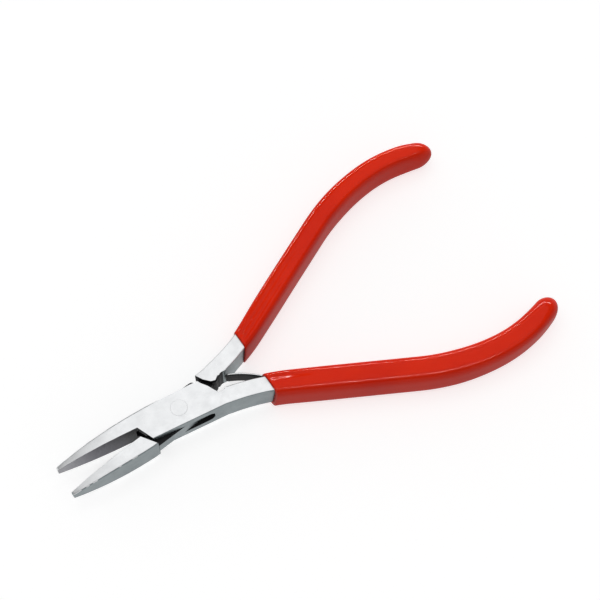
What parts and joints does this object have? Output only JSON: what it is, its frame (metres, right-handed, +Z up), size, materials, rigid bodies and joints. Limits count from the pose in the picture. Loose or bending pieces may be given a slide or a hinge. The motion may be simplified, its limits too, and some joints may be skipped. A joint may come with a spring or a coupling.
{
  "type": "needle nose pliers",
  "caption": "Small box-joint needle nose pliers with smooth tapered jaws, bowed handles in red dipped grips and a return leaf spring, opening and closing on a hidden flush pin",
  "frame": {"origin": "on the hinge axis, in the joint's lower flat face", "axes": "+X towards the jaw tips along the line midway between the jaws, +Y to the side of the jaw on the tongue half, +Z up through the thickness, along the hinge axis"},
  "size_m": [0.1293, 0.0666, 0.0094],
  "materials": {
    "polished_steel": "satin polished outside, dark unpolished inside the joint",
    "pin_steel": "ground flush with the box",
    "red_vinyl": "glossy dipped vinyl",
    "spring_steel": "bright rolled strip"
  },
  "bodies": {
    "box_side": {"box_half": "polished_steel", "pivot_pin": "pin_steel", "box_grip": "red_vinyl"},
    "tongue_side": {"tongue_half": "polished_steel", "tongue_grip": "red_vinyl"},
    "spring": {"leaf_spring": "spring_steel"}
  },
  "joints": [
    {"name": "jaw_hinge", "type": "hinge", "parent": "box_side", "child": "tongue_side", "pos_m": [0, 0, 0.0038], "axis": [0, 0, 1], "range_deg": [-11.4, 13], "stiffness_Nm_per_rad": 0.2},
    {"name": "spring_flex", "type": "hinge", "parent": "box_side", "child": "spring", "pos_m": [-0.02261, 0.00404, 0.0038], "axis": [0, 0, 1], "range_deg": [-21.2, 18.6]}
  ],
  "couplings": [
    {"joint": "spring_flex", "follows": "jaw_hinge", "ratio": -1.62}
  ]
}
